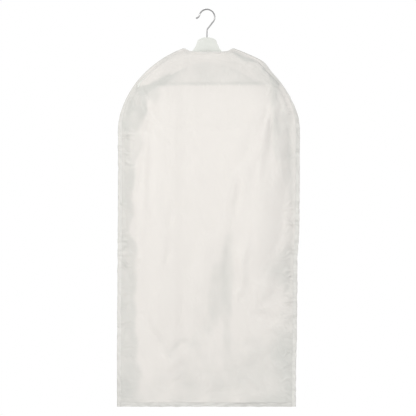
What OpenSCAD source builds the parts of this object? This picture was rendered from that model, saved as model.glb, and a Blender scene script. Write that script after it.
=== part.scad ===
// Long garment bag of milky film, hung on a contoured wooden hanger.
// The origin is where the hook rests on a rail. +Z is up and -Y is the front.
// Heights are written as drops: distances below the rail.

/* [Bag] */
// Half the width of the bag at its sides
bag_half_w = 263; // [250:1:285]
// Drop of the hem's lower edge
hem_drop = 1153; // [1050:1:1350]
// Drop at which the shoulder curve meets the straight sides
side_drop = 350; // [340:1:380]
// Drop of the two peaks beside the neck opening
peak_drop = 112; // [110:1:114]
// Half the distance between the two peaks
peak_half_w = 74; // [70:1:80]
// Roundness of the shoulder curve, 2 is an ellipse
shoulder_power = 1.8; // [1.7:0.05:2]
// How far the front stands out from the side seams
front_bulge = 54; // [48:1:70]
// How far the back stands out behind the side seams
back_bulge = 43; // [41:1:60]
// Thickness of one layer, with its creases
film_t = 1.2; // [1:0.1:1.6]

/* [Seams] */
// Width of the welded shoulder seams
shoulder_seam_w = 5; // [4:0.5:6]
// Width of the welded side seams
side_seam_w = 12; // [8:1:17]
// Height of the welded hem
hem_h = 12; // [8:1:16]
// Height of the turned edge at the neck opening
neck_edge_h = 8; // [6:1:10]

/* [Zip] */
// Place of the zip across the back, seen from the front
zip_x = -82; // [-95:1:-78]
// Half the width of the gap between the back panels
zip_half_w = 6; // [5.5:0.5:8]
// Drop of the top stop
zip_top_drop = 240; // [236:1:300]
// Height of the bottom stop above the hem seam
zip_foot = 9; // [8:1:20]

/* [Hanger] */
// Reach of each arm from the middle
arm_reach = 196; // [190:1:197]
// Drop of the top of the wooden neck
neck_drop = 79.5; // [76:0.5:84]
// How far the arm tips come forward
arm_sweep = 32; // [28:1:34]
// Half the thickness of the wood at the neck
wood_half_t = 7; // [6:0.5:7.5]
// Radius of the trouser bar
bar_r = 5.5; // [4:0.5:6]
// Drop of the trouser bar's axis
bar_drop = 216; // [212:1:218]
// Half the length of the trouser bar
bar_half_l = 168; // [160:1:170]

/* [Hook] */
// Radius of the hook's wire
wire_r = 2.1; // [1.7:0.1:2.4]
// Radius of the loop at the wire's middle
loop_r = 22.6; // [20:0.2:26]
// Lean of the wire below the loop, in degrees
hook_lean = 38; // [34:1:42]
// Radius of the bend above the straight stem
stem_bend_r = 14; // [10:1:18]

/* [Hidden] */
$fn = 48;

film_white = [0.93, 0.92, 0.90, 0.55];
seam_white = [0.90, 0.89, 0.87, 0.8];
paint_white = [0.90, 0.91, 0.88];
steel_grey = [0.62, 0.62, 0.62];
zip_white = [0.95, 0.95, 0.94];

// Small gap that keeps touching solids apart
gap = 0.15;
// Vertical radius of the shoulder curve
shoulder_rise = (side_drop - peak_drop)
    / pow(1 - pow(peak_half_w / bag_half_w, shoulder_power), 1 / shoulder_power);
// Drop at which the arm tips stop shaping the bag
tip_drop = 228;
// Distance from a seam over which a panel rounds out
edge_round = 120;
// Depth of the front and of the back at the neck opening, and of both at the hem
neck_front_depth = 14;
neck_back_depth = 20;
hem_depth = 2;
// Drops between which the front is fullest
full_drop = 300;
taper_drop = 640;
// The neck opening dips most at these two places, and this much there and in the middle
dip_x = 50;
dip_depth = 9;
middle_dip = 10.5;
dip_reach = 12;
// How much narrower the bag hangs just above the hem
waist_in = 4;
// Drop of the panels' lower edge
panel_drop = hem_drop - hem_h;
// Drop where the rows start to follow the neck opening
neckline_start = 200;
film_cols = 28;
side_rows = 16;
shoulder_rows = 16;

function ease(t) = let (c = min(1, max(0, t))) c * c * (3 - 2 * c);
function mix(a, b, t) = a + (b - a) * min(1, max(0, t));

// ---- Outline of the bag, as half-width at height z and back ----
function outline_w(z) =
    bag_half_w * pow(1 - pow(max(0, z + side_drop) / shoulder_rise, shoulder_power),
                     1 / shoulder_power)
    - waist_in * ease((-z - side_drop) / (panel_drop - side_drop));
function outline_z(x) =
    -side_drop + shoulder_rise
    * pow(1 - pow(x / bag_half_w, shoulder_power), 1 / shoulder_power);
function seam_w(z) = mix(shoulder_seam_w, side_seam_w, (-z - tip_drop) / (side_drop - tip_drop));
function panel_w(z) = outline_w(z) - seam_w(z);

// ---- Depth of the bag: the seams' plane, and the front and back from it ----
function seam_y(z) = -(arm_sweep + 1) * min(1, pow(panel_w(z) / (arm_reach + 9), 2));
function front_depth(z) =
    z > -full_drop
        ? mix(neck_front_depth, front_bulge, (-z - peak_drop) / (full_drop - peak_drop))
        : mix(front_bulge, hem_depth, ease((-z - taper_drop) / (panel_drop - taper_drop)));
function back_depth(z) =
    z > -tip_drop
        ? mix(neck_back_depth, back_bulge, (-z - peak_drop) / (tip_drop - peak_drop))
        : mix(back_bulge, hem_depth, (-z - tip_drop) / (panel_drop - tip_drop));
function fullness(x, z) =
    let (d = min(1, max(0, (panel_w(z) - abs(x)) / edge_round))) sqrt(1 - pow(1 - d, 4));
function front_y(x, z) = seam_y(z) - gap - front_depth(z) * fullness(x, z);
function back_y(x, z) = seam_y(z) + gap + back_depth(z) * fullness(x, z);

// ---- Rows: heights from the hem up to the peaks, closer together at the shoulders ----
function row_heights(top) = concat(
    [for (k = [0:side_rows - 1]) -panel_drop + (panel_drop - side_drop) * k / side_rows],
    [for (k = [0:shoulder_rows]) -side_drop + (top + side_drop) * sin(90 * k / shoulder_rows)]
);
function near_neck(z) = ease((z + neckline_start) / (neckline_start - peak_drop));
// How far the neck opening dips below the peaks
function neck_dip(x) =
    let (a = abs(x)) a > dip_x
        ? dip_depth * ease((peak_half_w - a) / (peak_half_w - dip_x))
        : mix(dip_depth, middle_dip, ease((dip_x - a) / dip_reach));
function edge_z(z, fold) = z - fold * near_neck(z);
function point_z(x, z, fold) = edge_z(z, fold) - neck_dip(x) * near_neck(z);

// A row of points across the bag from xl to xr, closer together near the seams
function across(xl, xr) =
    [for (i = [0:film_cols]) mix(xl, xr, (1 + sin(90 * (2 * i / film_cols - 1))) / 2)];
function front_row(z, fold) =
    let (ze = edge_z(z, fold), w = panel_w(ze))
    [for (x = across(-w, w)) [x, front_y(x, ze), point_z(x, z, fold)]];
function back_row(z, fold, xl) =
    let (ze = edge_z(z, fold), w = panel_w(ze))
    [for (x = across(max(-w, xl), w)) [x, back_y(x, ze), point_z(x, z, fold)]];
function narrow_row(z, xr) = [for (x = across(-panel_w(z), xr)) [x, back_y(x, z), z]];

// Closed solid between a grid of points and the same grid moved by t along Y
module slab(rows, t) {
    n = len(rows[0]);
    m = len(rows);
    base = [for (r = rows) for (p = r) p];
    moved = [for (p = base) p + [0, t, 0]];
    near = t < 0 ? moved : base;
    far = t < 0 ? base : moved;
    function at(j, i, side) = side * n * m + j * n + i;
    faces = concat(
        [for (j = [0:m - 2]) for (i = [0:n - 2])
            [at(j, i, 0), at(j + 1, i, 0), at(j + 1, i + 1, 0)]],
        [for (j = [0:m - 2]) for (i = [0:n - 2])
            [at(j, i, 0), at(j + 1, i + 1, 0), at(j, i + 1, 0)]],
        [for (j = [0:m - 2]) for (i = [0:n - 2])
            [at(j, i, 1), at(j + 1, i + 1, 1), at(j + 1, i, 1)]],
        [for (j = [0:m - 2]) for (i = [0:n - 2])
            [at(j, i, 1), at(j, i + 1, 1), at(j + 1, i + 1, 1)]],
        [for (i = [0:n - 2]) [at(0, i, 0), at(0, i + 1, 0), at(0, i + 1, 1), at(0, i, 1)]],
        [for (i = [0:n - 2])
            [at(m - 1, i + 1, 0), at(m - 1, i, 0), at(m - 1, i, 1), at(m - 1, i + 1, 1)]],
        [for (j = [0:m - 2]) [at(j + 1, 0, 0), at(j, 0, 0), at(j, 0, 1), at(j + 1, 0, 1)]],
        [for (j = [0:m - 2])
            [at(j, n - 1, 0), at(j + 1, n - 1, 0), at(j + 1, n - 1, 1), at(j, n - 1, 1)]]
    );
    polyhedron(points = concat(near, far), faces = faces, convexity = 6);
}

// ---- Film panels ----
module front_panel() {
    color(film_white)
        slab([for (z = row_heights(-peak_drop)) front_row(z, neck_edge_h)], -film_t);
}

module back_panel_wide() {
    color(film_white)
        slab([for (z = row_heights(-peak_drop)) back_row(z, neck_edge_h, zip_x + zip_half_w)],
             film_t);
}

// Where the narrow panel runs out below the shoulder seam
narrow_top = outline_z(-zip_x + zip_half_w + shoulder_seam_w + 3);

module back_panel_narrow() {
    color(film_white)
        slab([for (z = row_heights(narrow_top)) narrow_row(z, zip_x - zip_half_w)], film_t);
}

// ---- Turned edges at the neck opening ----
function neck_rows(front) = [for (fold = [neck_edge_h - 4 * gap, 0])
    front ? front_row(-peak_drop, fold) : back_row(-peak_drop, fold, -bag_half_w)];

module neck_edge_front() {
    color(seam_white) slab(neck_rows(true), -film_t);
}

module neck_edge_back() {
    color(seam_white) slab(neck_rows(false), film_t);
}

// ---- Welded seams: both layers fused into one flat strip ----
module edge_seam(side, heights) {
    lift = film_t + gap;
    rows = [for (z = heights)
        let (xs = [side * (panel_w(z) + 4 * gap), side * outline_w(z)])
        [for (x = side > 0 ? xs : [xs[1], xs[0]]) [x, seam_y(z) - lift, z]]];
    color(seam_white) slab(rows, 2 * lift);
}

function shoulder_heights() =
    [for (k = [0:shoulder_rows]) -side_drop + (side_drop - peak_drop) * sin(90 * k / shoulder_rows)];
function side_heights() =
    [for (k = [0:side_rows]) mix(-hem_drop, -side_drop - 2 * gap, k / side_rows)];

module shoulder_seam_left() { edge_seam(-1, shoulder_heights()); }
module shoulder_seam_right() { edge_seam(1, shoulder_heights()); }
module side_seam_left() { edge_seam(-1, side_heights()); }
module side_seam_right() { edge_seam(1, side_heights()); }

module hem_seam() {
    lift = film_t + gap;
    w = panel_w(-hem_drop) - gap;
    color(seam_white)
        translate([-w, seam_y(-hem_drop) - lift, -hem_drop])
            cube([2 * w, 2 * lift, hem_h - 2 * gap]);
}

// ---- Zip, down the whole back ----
tape_t = 0.6;
tape_in = 0.8;
coil_w = 1.6;
coil_t = 1.4;
zip_bottom = -panel_drop + zip_foot;
zip_slope = atan((back_depth(-zip_top_drop) - back_depth(-panel_drop)) / (panel_drop - zip_top_drop));

module zip_tape(side) {
    xs = [zip_x + side * tape_in, zip_x + side * (zip_half_w - 2 * gap)];
    color(zip_white)
        slab([for (z = row_heights(narrow_top))
            [for (x = side > 0 ? xs : [xs[1], xs[0]]) [x, back_y(zip_x, z), z]]], tape_t);
}

module zip_tape_left() { zip_tape(-1); }
module zip_tape_right() { zip_tape(1); }

// Draws its children on the zip at height z, with local Z up the zip and local Y outward
module on_zip(z) {
    translate([zip_x, back_y(zip_x, z), z]) rotate([-zip_slope, 0, 0]) children();
}

module zip_coil(side) {
    run = (-zip_top_drop - zip_bottom) / cos(zip_slope);
    color(zip_white)
        on_zip(zip_bottom)
            translate([side > 0 ? tape_in : -tape_in - coil_w, tape_t, 0])
                cube([coil_w, coil_t, run]);
}

module zip_coil_left() { zip_coil(-1); }
module zip_coil_right() { zip_coil(1); }

stop_l = 3;
stop_w = 5.4;
module zip_stop() {
    translate([-stop_w / 2, tape_t, 0]) cube([stop_w, 2.2, stop_l]);
}

module zip_top_stop() {
    color(zip_white) on_zip(-zip_top_drop) translate([0, 0, gap]) zip_stop();
}

module zip_bottom_stop() {
    color(zip_white) on_zip(zip_bottom) translate([0, 0, -stop_l - gap]) zip_stop();
}

slider_l = 9;
slider_half_w = 4.2;
plate_t = 1.2;
run_gap = 0.4;
plate_y = tape_t + coil_t + run_gap;
bridge_y = plate_y + plate_t;
pivot_y = bridge_y + 1.1;

module slider_plate() {
    hull() for (x = [-1, 1], z = [1.6, slider_l - 1.6])
        translate([x * (slider_half_w - 1.6), 0, z])
            rotate([-90, 0, 0]) cylinder(r = 1.6, h = plate_t, $fn = 24);
}

module zip_slider() {
    flange_x = tape_in + coil_w + 0.3;
    color(zip_white) on_zip(zip_bottom + 0.3) {
        translate([0, plate_y, 0]) slider_plate();
        translate([0, -run_gap - plate_t, 0]) slider_plate();
        // Flanges that hold the coils in
        for (s = [-1, 1])
            translate([s > 0 ? flange_x : -slider_half_w, tape_t + run_gap, 1.6])
                cube([slider_half_w - flange_x, plate_y - tape_t, slider_l - 3.2]);
        // Divider between the two coils, on the open side
        translate([-0.5, -run_gap - plate_t / 2, 1])
            cube([1, plate_y + run_gap + plate_t, 2.4]);
        // Bridge that carries the pull tab
        translate([-0.9, bridge_y - 0.2, slider_l / 2 - 2.4]) difference() {
            cube([1.8, 2.8, 4.8]);
            translate([-1, 0.2, 0.9]) cube([4, 1.9, 3]);
        }
    }
}

module zip_pull_tab() {
    rod_r = 0.6;
    tab_l = 20;
    on_zip(zip_bottom + 0.3) translate([0, pivot_y, slider_l / 2])
        rotate([zip_slope, 0, 0]) color(zip_white) {
            translate([-2.6, 0, 0]) rotate([0, 90, 0]) cylinder(r = rod_r, h = 5.2);
            for (s = [-1, 1])
                translate([s * 2 - 0.6, -rod_r, -3.6]) cube([1.2, 2 * rod_r, 3.6]);
            translate([-2.6, -rod_r, -tab_l]) cube([5.2, 2 * rod_r, tab_l - 3.4]);
            translate([0, rod_r, -tab_l]) rotate([90, 0, 0]) cylinder(r = 2.6, h = 2 * rod_r);
        }
}

// ---- Hanger ----
arm_curve = 2.4;
arm_fall = 88;
foot_z = -125;
under_z = -151;
under_reach = arm_reach - 20;
tip_half_t = wood_half_t + 3;
steps = 18;

function arm_top(x) = foot_z - arm_fall * pow(x / arm_reach, arm_curve);
function arm_under(x) = under_z - (arm_fall + 2) * pow(x / under_reach, 1.6);
function bezier(a, b, c, t) = (1 - t) * (1 - t) * a + 2 * t * (1 - t) * b + t * t * c;

// Front view of one half, from the middle of the neck round to the underside
tip_a = [arm_reach, arm_top(arm_reach)];
tip_b = [under_reach, arm_under(under_reach)];
tip_mid = (tip_a + tip_b) / 2;
tip_r = norm(tip_a - tip_b) / 2;
tip_angle = atan2(tip_a[1] - tip_b[1], tip_a[0] - tip_b[0]);
dome_w = 29;
dome_h = 15;
// The neck's flank bends at the waist and runs out into the arm at the foot
waist = [36, -118];
foot_x = 56;
half_front = concat(
    [[0, -neck_drop - dome_h - 20]],
    [for (a = [90:-7.5:15]) [dome_w * cos(a), -neck_drop - dome_h + dome_h * sin(a)]],
    [for (t = [0.1:0.15:1])
        bezier([dome_w, -neck_drop - dome_h], waist, [foot_x, arm_top(foot_x)], t)],
    [for (k = [1:steps - 1]) let (x = mix(foot_x, arm_reach, k / steps)) [x, arm_top(x)]],
    [for (a = [0:15:180]) tip_mid + tip_r * [cos(tip_angle - a), sin(tip_angle - a)]],
    [for (k = [1:steps]) let (x = under_reach * (1 - k / steps)) [x, arm_under(x)]]
);

// Plan view: the arms sweep forward and thicken, and the tips are round
function arm_y(x) = -arm_sweep * pow(x / 190, 2);
function arm_half_t(x) = mix(wood_half_t, tip_half_t, x / 190)
    * (x < arm_reach - 6 ? 1 : sqrt(max(0, 1 - pow((x - arm_reach + 6) / 12, 2))));
plan_xs = concat([for (k = [0:steps]) (arm_reach - 6) * k / steps],
                 [for (a = [20:20:80]) arm_reach - 6 + 12 * sin(a)]);
half_plan = concat(
    [for (x = plan_xs) [x, arm_y(x) - arm_half_t(x)]],
    [[arm_reach + 6, arm_y(arm_reach + 6)]],
    [for (k = [len(plan_xs) - 1:-1:0]) let (x = plan_xs[k]) [x, arm_y(x) + arm_half_t(x)]]
);

bore_gap = 0.08;
bar_y = arm_y(bar_half_l - 4);
brad_r = 0.8;
brad_x = bar_half_l - 4;

module hanger_half() {
    difference() {
        intersection() {
            rotate([90, 0, 0])
                linear_extrude(height = 160, center = true, convexity = 6) polygon(half_front);
            translate([0, 0, -300])
                linear_extrude(height = 300, convexity = 6) polygon(half_plan);
        }
        translate([0, 0, -200]) cylinder(r = wire_r + bore_gap, h = 200);
        translate([0, bar_y, -bar_drop]) rotate([0, 90, 0]) cylinder(r = bar_r, h = bar_half_l);
        translate([brad_x, bar_y, -bar_drop]) rotate([-90, 0, 0]) cylinder(r = brad_r, h = 40);
    }
}

module hanger_arm_left() { color(paint_white) mirror([1, 0, 0]) hanger_half(); }
module hanger_arm_right() { color(paint_white) hanger_half(); }

module trouser_bar() {
    color(paint_white) difference() {
        translate([-bar_half_l, bar_y, -bar_drop]) rotate([0, 90, 0])
            cylinder(r = bar_r, h = 2 * bar_half_l);
        for (s = [-1, 1]) translate([s * brad_x, bar_y, -bar_drop])
            rotate([-90, 0, 0]) cylinder(r = brad_r, h = bar_r + 1);
    }
}

// One brad at each end holds the bar from behind, its head just under the paint
module bar_brads() {
    brad_l = arm_y(brad_x) + arm_half_t(brad_x) - bar_y - 0.5;
    color(steel_grey) for (s = [-1, 1])
        translate([s * brad_x, bar_y, -bar_drop]) rotate([-90, 0, 0]) cylinder(r = brad_r, h = brad_l);
}

// ---- Hook ----
loop_z = wire_r - loop_r;
tip_from = 167;
tip_bend_r = 10.7;
tip_turn = 67;
washer_r = 5;
washer_t = 1;
washer_z = arm_under(washer_r) - 3 * gap - washer_t;
head_r = 3.4;
head_t = 1.6;
stem_foot = washer_z - 2 * gap;

function on_loop(a, r) = [r * cos(a), loop_z + r * sin(a)];
lean_l = (loop_r * cos(hook_lean) - stem_bend_r * (1 - cos(hook_lean))) / sin(hook_lean);
lean_start = on_loop(-hook_lean, loop_r);
lean_end = lean_start - lean_l * [sin(hook_lean), cos(hook_lean)];
stem_top = lean_end[1] - stem_bend_r * sin(hook_lean);
tip_centre = on_loop(tip_from, loop_r + tip_bend_r);
tip_end_a = tip_from - 180 - tip_turn;

// Middle line of the bent wire in the XZ plane, as [x, z, heading], from the tip to the stem
function bend_points(centre, r, a0, a1, n) =
    [for (k = [0:n]) let (a = a0 + (a1 - a0) * k / n)
        [centre[0] + r * cos(a), centre[1] + r * sin(a), a1 > a0 ? a + 90 : a - 90]];
wire_line = concat(
    bend_points(tip_centre, tip_bend_r, tip_end_a, tip_from - 180, 8),
    [for (p = bend_points([0, loop_z], loop_r, tip_from, -hook_lean, 30)) if (p[2] < tip_from - 91) p],
    bend_points([stem_bend_r, stem_top], stem_bend_r, 180 - hook_lean, 180, 6),
    [[0, stem_top - 3, 270]]
);

// Closed round tube along a middle line in the XZ plane
module wire_tube(line, r, sides = 16) {
    n = len(line);
    points = [for (p = line) for (k = [0:sides - 1]) let (a = 360 * k / sides)
        [p[0] - r * cos(a) * sin(p[2]), r * sin(a), p[1] + r * cos(a) * cos(p[2])]];
    walls = [for (j = [0:n - 2]) for (k = [0:sides - 1]) let (m = (k + 1) % sides)
        [j * sides + k, j * sides + m, (j + 1) * sides + m, (j + 1) * sides + k]];
    start = [for (k = [sides - 1:-1:0]) k];
    end = [for (k = [0:sides - 1]) (n - 1) * sides + k];
    polyhedron(points = points, faces = concat(walls, [start], [end]), convexity = 8);
}

module hook_wire() {
    tip = wire_line[0];
    color(steel_grey) {
        wire_tube(wire_line, wire_r);
        translate([tip[0], 0, tip[1]]) sphere(r = wire_r * 1.25);
        translate([0, 0, stem_foot - 1]) cylinder(r = wire_r, h = stem_top - stem_foot - 1);
        // Head upset on the wire's end, under the washer
        translate([0, 0, stem_foot - head_t]) cylinder(r = head_r, h = head_t);
    }
}

module hook_washer() {
    color(steel_grey) translate([0, 0, washer_z]) difference() {
        cylinder(r = washer_r, h = washer_t);
        translate([0, 0, -1]) cylinder(r = wire_r + bore_gap, h = washer_t + 2);
    }
}

hook_wire();
hook_washer();
hanger_arm_left();
hanger_arm_right();
trouser_bar();
bar_brads();
front_panel();
back_panel_wide();
back_panel_narrow();
shoulder_seam_left();
shoulder_seam_right();
side_seam_left();
side_seam_right();
hem_seam();
neck_edge_front();
neck_edge_back();
zip_tape_left();
zip_tape_right();
zip_coil_left();
zip_coil_right();
zip_top_stop();
zip_bottom_stop();
zip_slider();
zip_pull_tab();
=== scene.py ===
"""Garment bag of milky film on a painted wooden hanger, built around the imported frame."""

import math

import bmesh
import bpy
import numpy as np
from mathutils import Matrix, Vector


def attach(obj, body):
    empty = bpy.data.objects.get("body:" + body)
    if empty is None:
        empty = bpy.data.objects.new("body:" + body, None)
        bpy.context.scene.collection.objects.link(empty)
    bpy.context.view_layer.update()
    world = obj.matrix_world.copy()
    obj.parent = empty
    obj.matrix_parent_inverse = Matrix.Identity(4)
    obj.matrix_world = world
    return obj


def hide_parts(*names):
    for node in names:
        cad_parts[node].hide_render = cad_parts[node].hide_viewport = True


bpy.ops.wm.read_factory_settings(use_empty=True)
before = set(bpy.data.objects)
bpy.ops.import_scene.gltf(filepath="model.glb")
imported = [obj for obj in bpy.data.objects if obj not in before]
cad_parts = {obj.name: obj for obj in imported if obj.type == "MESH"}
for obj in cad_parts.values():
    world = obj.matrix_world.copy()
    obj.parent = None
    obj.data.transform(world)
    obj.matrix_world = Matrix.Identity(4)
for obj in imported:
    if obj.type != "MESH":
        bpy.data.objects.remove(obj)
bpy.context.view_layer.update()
scene = bpy.context.scene

# ---- Measures of the design, in metres, as in the CAD source ----
HALF_W, SIDE_Z, TIP_Z = 0.263, -0.350, -0.228
PEAK_Z, PEAK_X, HEM_Z = -0.112, 0.074, -1.153
PANEL_Z = HEM_Z + 0.012
POWER = 1.8
RISE = (PEAK_Z - SIDE_Z) / (1 - (PEAK_X / HALF_W) ** POWER) ** (1 / POWER)
FOOT_TAPER = 0.004
SEAM_TOP_W, SEAM_SIDE_W = 0.005, 0.012
SEAM_BACK, SEAM_BACK_W = 0.033, 0.205
ROUND_OVER, FOOT_DEPTH = 0.12, 0.002
FRONT_TOP, FRONT_FULL, FULL_FROM_Z, FULL_TO_Z = 0.014, 0.054, -0.30, -0.64
BACK_TOP, BACK_FULL = 0.020, 0.043
EDGE_FOLD = 0.008
NECKLINE_Z, NECK_FLAT_X, NECK_DIP = -0.200, 0.050, 0.009
ZIP_X, ZIP_HALF = -0.082, 0.006
ZIP_TOP_Z = -0.240
ZIP_FOOT_Z = PANEL_Z + 0.009
ARM_REACH, ARM_SWEEP, ARM_SWEEP_X = 0.196, 0.032, 0.190
BAR_Z, BAR_R, BAR_HALF = -0.216, 0.0055, 0.168
FILM_T, WELD_T, HEM_T, TAPE_T = 0.0005, 0.0009, 0.0010, 0.0006

# How the film hangs beside the CAD model: to the right, and flared low on the left
HANGS_RIGHT, LEFT_FLARE, SHOULDER_BULGE = 0.0042, 0.0062, 0.0125


def ease(t):
    c = np.clip(t, 0, 1)
    return c * c * (3 - 2 * c)


def mix(a, b, t):
    return a + (b - a) * np.clip(t, 0, 1)


# ---- Outline and depth of the bag, as functions of height and place ----
def outline_w(z):
    up = np.maximum(0, z - SIDE_Z) / RISE
    taper = FOOT_TAPER * ease((SIDE_Z - z) / (SIDE_Z - PANEL_Z))
    return HALF_W * (1 - up**POWER) ** (1 / POWER) - taper


def outline_z(x):
    return SIDE_Z + RISE * (1 - (abs(x) / HALF_W) ** POWER) ** (1 / POWER)


def seam_w(z):
    return mix(SEAM_TOP_W, SEAM_SIDE_W, (TIP_Z - z) / (TIP_Z - SIDE_Z))


def panel_w(z):
    return outline_w(z) - seam_w(z)


def seam_y(z):
    return -SEAM_BACK * np.minimum(1, (panel_w(z) / SEAM_BACK_W) ** 2)


def front_depth(z):
    """Deepens from the peaks down, rounds off into its full depth, and thins out to the hem."""
    t = (PEAK_Z - z) / (PEAK_Z - FULL_FROM_Z)
    upper = mix(FRONT_TOP, FRONT_FULL, np.where(t > 0.8, t - (t - 0.8) ** 2 / 0.8, t))
    lower = mix(FRONT_FULL, FOOT_DEPTH, ease((FULL_TO_Z - z) / (FULL_TO_Z - PANEL_Z)))
    return np.where(t < 1.2, upper, lower)


def back_depth(z):
    upper = mix(BACK_TOP, BACK_FULL, (PEAK_Z - z) / (PEAK_Z - TIP_Z))
    lower = mix(BACK_FULL, FOOT_DEPTH, (TIP_Z - z) / (TIP_Z - PANEL_Z))
    return np.where(z > TIP_Z, upper, lower)


def fullness(x, z):
    """How much of the depth a place has, as in the CAD panels: 0 at the seam, 1 inside."""
    d = np.clip((panel_w(z) - np.abs(x)) / ROUND_OVER, 0, 1)
    return np.sqrt(np.maximum(0, 1 - (1 - d) ** 4))


def slack(x, z):
    """Like fullness, but the film leaves the seam flat."""
    inside = panel_w(z) - np.abs(x)
    d = np.clip(inside / ROUND_OVER, 0, 1)
    return (1 - (1 - d) ** 2.3) * ease(inside / 0.020 + 0.05)


def back_y(x, z):
    return seam_y(z) + back_depth(z) * fullness(x, z)


def drift(x, z, zip_edges=False):
    """How far right of the CAD model the film hangs. The edges at the zip stay in place."""
    bulge = SHOULDER_BULGE * np.exp(-(((z + 0.150) / 0.022) ** 2)) * ease(x / 0.08)
    flare = LEFT_FLARE * ease((-0.45 - z) / 0.6) * ease(-x / 0.12)
    spread = 0.0025 * ease((-0.22 - z) / 0.1)
    spread = spread - 0.0050 * ease((-0.62 - z) / 0.12) - 0.0025 * ease((-0.92 - z) / 0.15)
    calm = ease((np.abs(x - ZIP_X) - ZIP_HALF) / 0.09) if zip_edges else 1.0
    return (HANGS_RIGHT + (bulge + spread * ease(x / 0.2)) - flare) * calm


def near_neck(z):
    return ease((z - NECKLINE_Z) / (PEAK_Z - NECKLINE_Z))


def neck_dip(x):
    """How far the neck opening's edge hangs below the peaks."""
    a = np.abs(x)
    outer = NECK_DIP * ease((PEAK_X - a) / (PEAK_X - NECK_FLAT_X))
    inner = NECK_DIP + 0.0015 * ease((NECK_FLAT_X - a) / 0.012)
    return np.where(a > NECK_FLAT_X, outer, inner)


# ---- Waves and folds that the film hangs in ----
def ripple(u, v, seed, count=14):
    """Smooth random waves about one unit long, from -1 to 1."""
    rng = np.random.default_rng(seed)
    total = np.zeros_like(u)
    for _ in range(count):
        a, k, p = rng.uniform(0, math.tau), rng.uniform(0.6, 1.6), rng.uniform(0, math.tau)
        total += np.cos(math.tau * k * (math.cos(a) * u + math.sin(a) * v) + p)
    return total / math.sqrt(2 * count)


def along_line(x, z, points):
    """Distance from each point to a line, and how far along the line it is, from 0 to 1."""
    lengths = [math.dist(p, q) for p, q in zip(points[:-1], points[1:])]
    best, place = np.full_like(x, 9.0), np.zeros_like(x)
    start = 0.0
    for (ax, az), (bx, bz), length in zip(points[:-1], points[1:], lengths):
        dx, dz = bx - ax, bz - az
        t = np.clip(((x - ax) * dx + (z - az) * dz) / length**2, 0, 1)
        d = np.hypot(x - ax - t * dx, z - az - t * dz)
        place = np.where(d < best, (start + t * length) / sum(lengths), place)
        best = np.minimum(best, d)
        start += length
    return best, place


def folds(x, z, rows):
    """Sum of folds: each a line, its height, its width and how crisp it is (2 soft, 1 crisp)."""
    wx, wz = 0.004 * ripple(x / 0.07, z / 0.09, 21), 0.004 * ripple(x / 0.07, z / 0.09, 22)
    total = np.zeros_like(x)
    for points, height, width, crisp in rows:
        d, place = along_line(x + wx, z + wz, points)
        taper = ease(place / 0.45) * ease((1 - place) / 0.45)
        total += height * taper * np.exp(-((d / (width * (0.7 + 0.5 * taper))) ** crisp))
    return total


def patches(z, spans, fade=0.02):
    """The strength of each height span (top, bottom, strength), fading to 0 away from it."""
    total = np.zeros_like(z)
    for top, bottom, strength in spans:
        inside = strength * ease((top + fade - z) / fade) * ease((z - bottom + fade) / fade)
        total = np.maximum(total, inside)
    return total


# Where each side seam gathers: (top, bottom, strength)
PUCKERS = {
    -1: [(-0.36, -0.46, 1.0), (-0.56, -0.60, 0.4), (-0.645, -0.75, 0.9), (-0.80, -0.86, 0.35),
         (-0.91, -1.0, 0.8), (-1.07, -1.12, 0.4)],
    1: [(-0.25, -0.31, 0.5), (-0.40, -0.45, 0.45), (-0.56, -0.645, 0.85), (-0.69, -0.86, 1.0),
        (-0.89, -1.13, 0.8)],
}
PUCKER_PITCH, PUCKER_HEIGHT = 0.019, 0.0027


def pucker(x, z):
    """Gathers across the side seams, where the weld draws the film in."""
    total = np.zeros_like(x)
    for side in (-1, 1):
        d = np.maximum(0, panel_w(z) - side * x)
        strength = 0.12 + patches(z, PUCKERS[side])
        wander = 0.85 * ripple(z / 0.045, d / 0.05, 31 + side)
        tilt = 0.35 * ripple(z / 0.12, z * 0, 41 + side)
        wave = np.cos(math.tau * ((z + tilt * d) / PUCKER_PITCH + wander))
        size = 0.7 + 0.5 * ripple(z / 0.035, d / 0.05, 51 + side)
        reach = (0.4 + 0.6 * ease(d / 0.010)) * np.exp(-((d / 0.030) ** 1.6))
        total += PUCKER_HEIGHT * strength * size * wave * reach
    return total


def crinkle(x, z, seed):
    """Fine creases of the film itself."""
    bent = 0.5 * ripple(x / 0.10, z / 0.12, seed + 3)
    fine = 1 - 2 * np.abs(ripple(x / 0.036 + bent, z / 0.085, seed))
    finest = ripple(x / 0.017, z / 0.022 + bent, seed + 1)
    where = 0.25 + 0.75 * ease(0.5 + 0.8 * ripple(x / 0.11, z / 0.15, seed + 2))
    edge = np.exp(-((np.maximum(0, panel_w(z) - np.abs(x)) / 0.05) ** 2))
    return where * (0.00022 + 0.00042 * edge) * (fine + 0.5 * finest)


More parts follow.
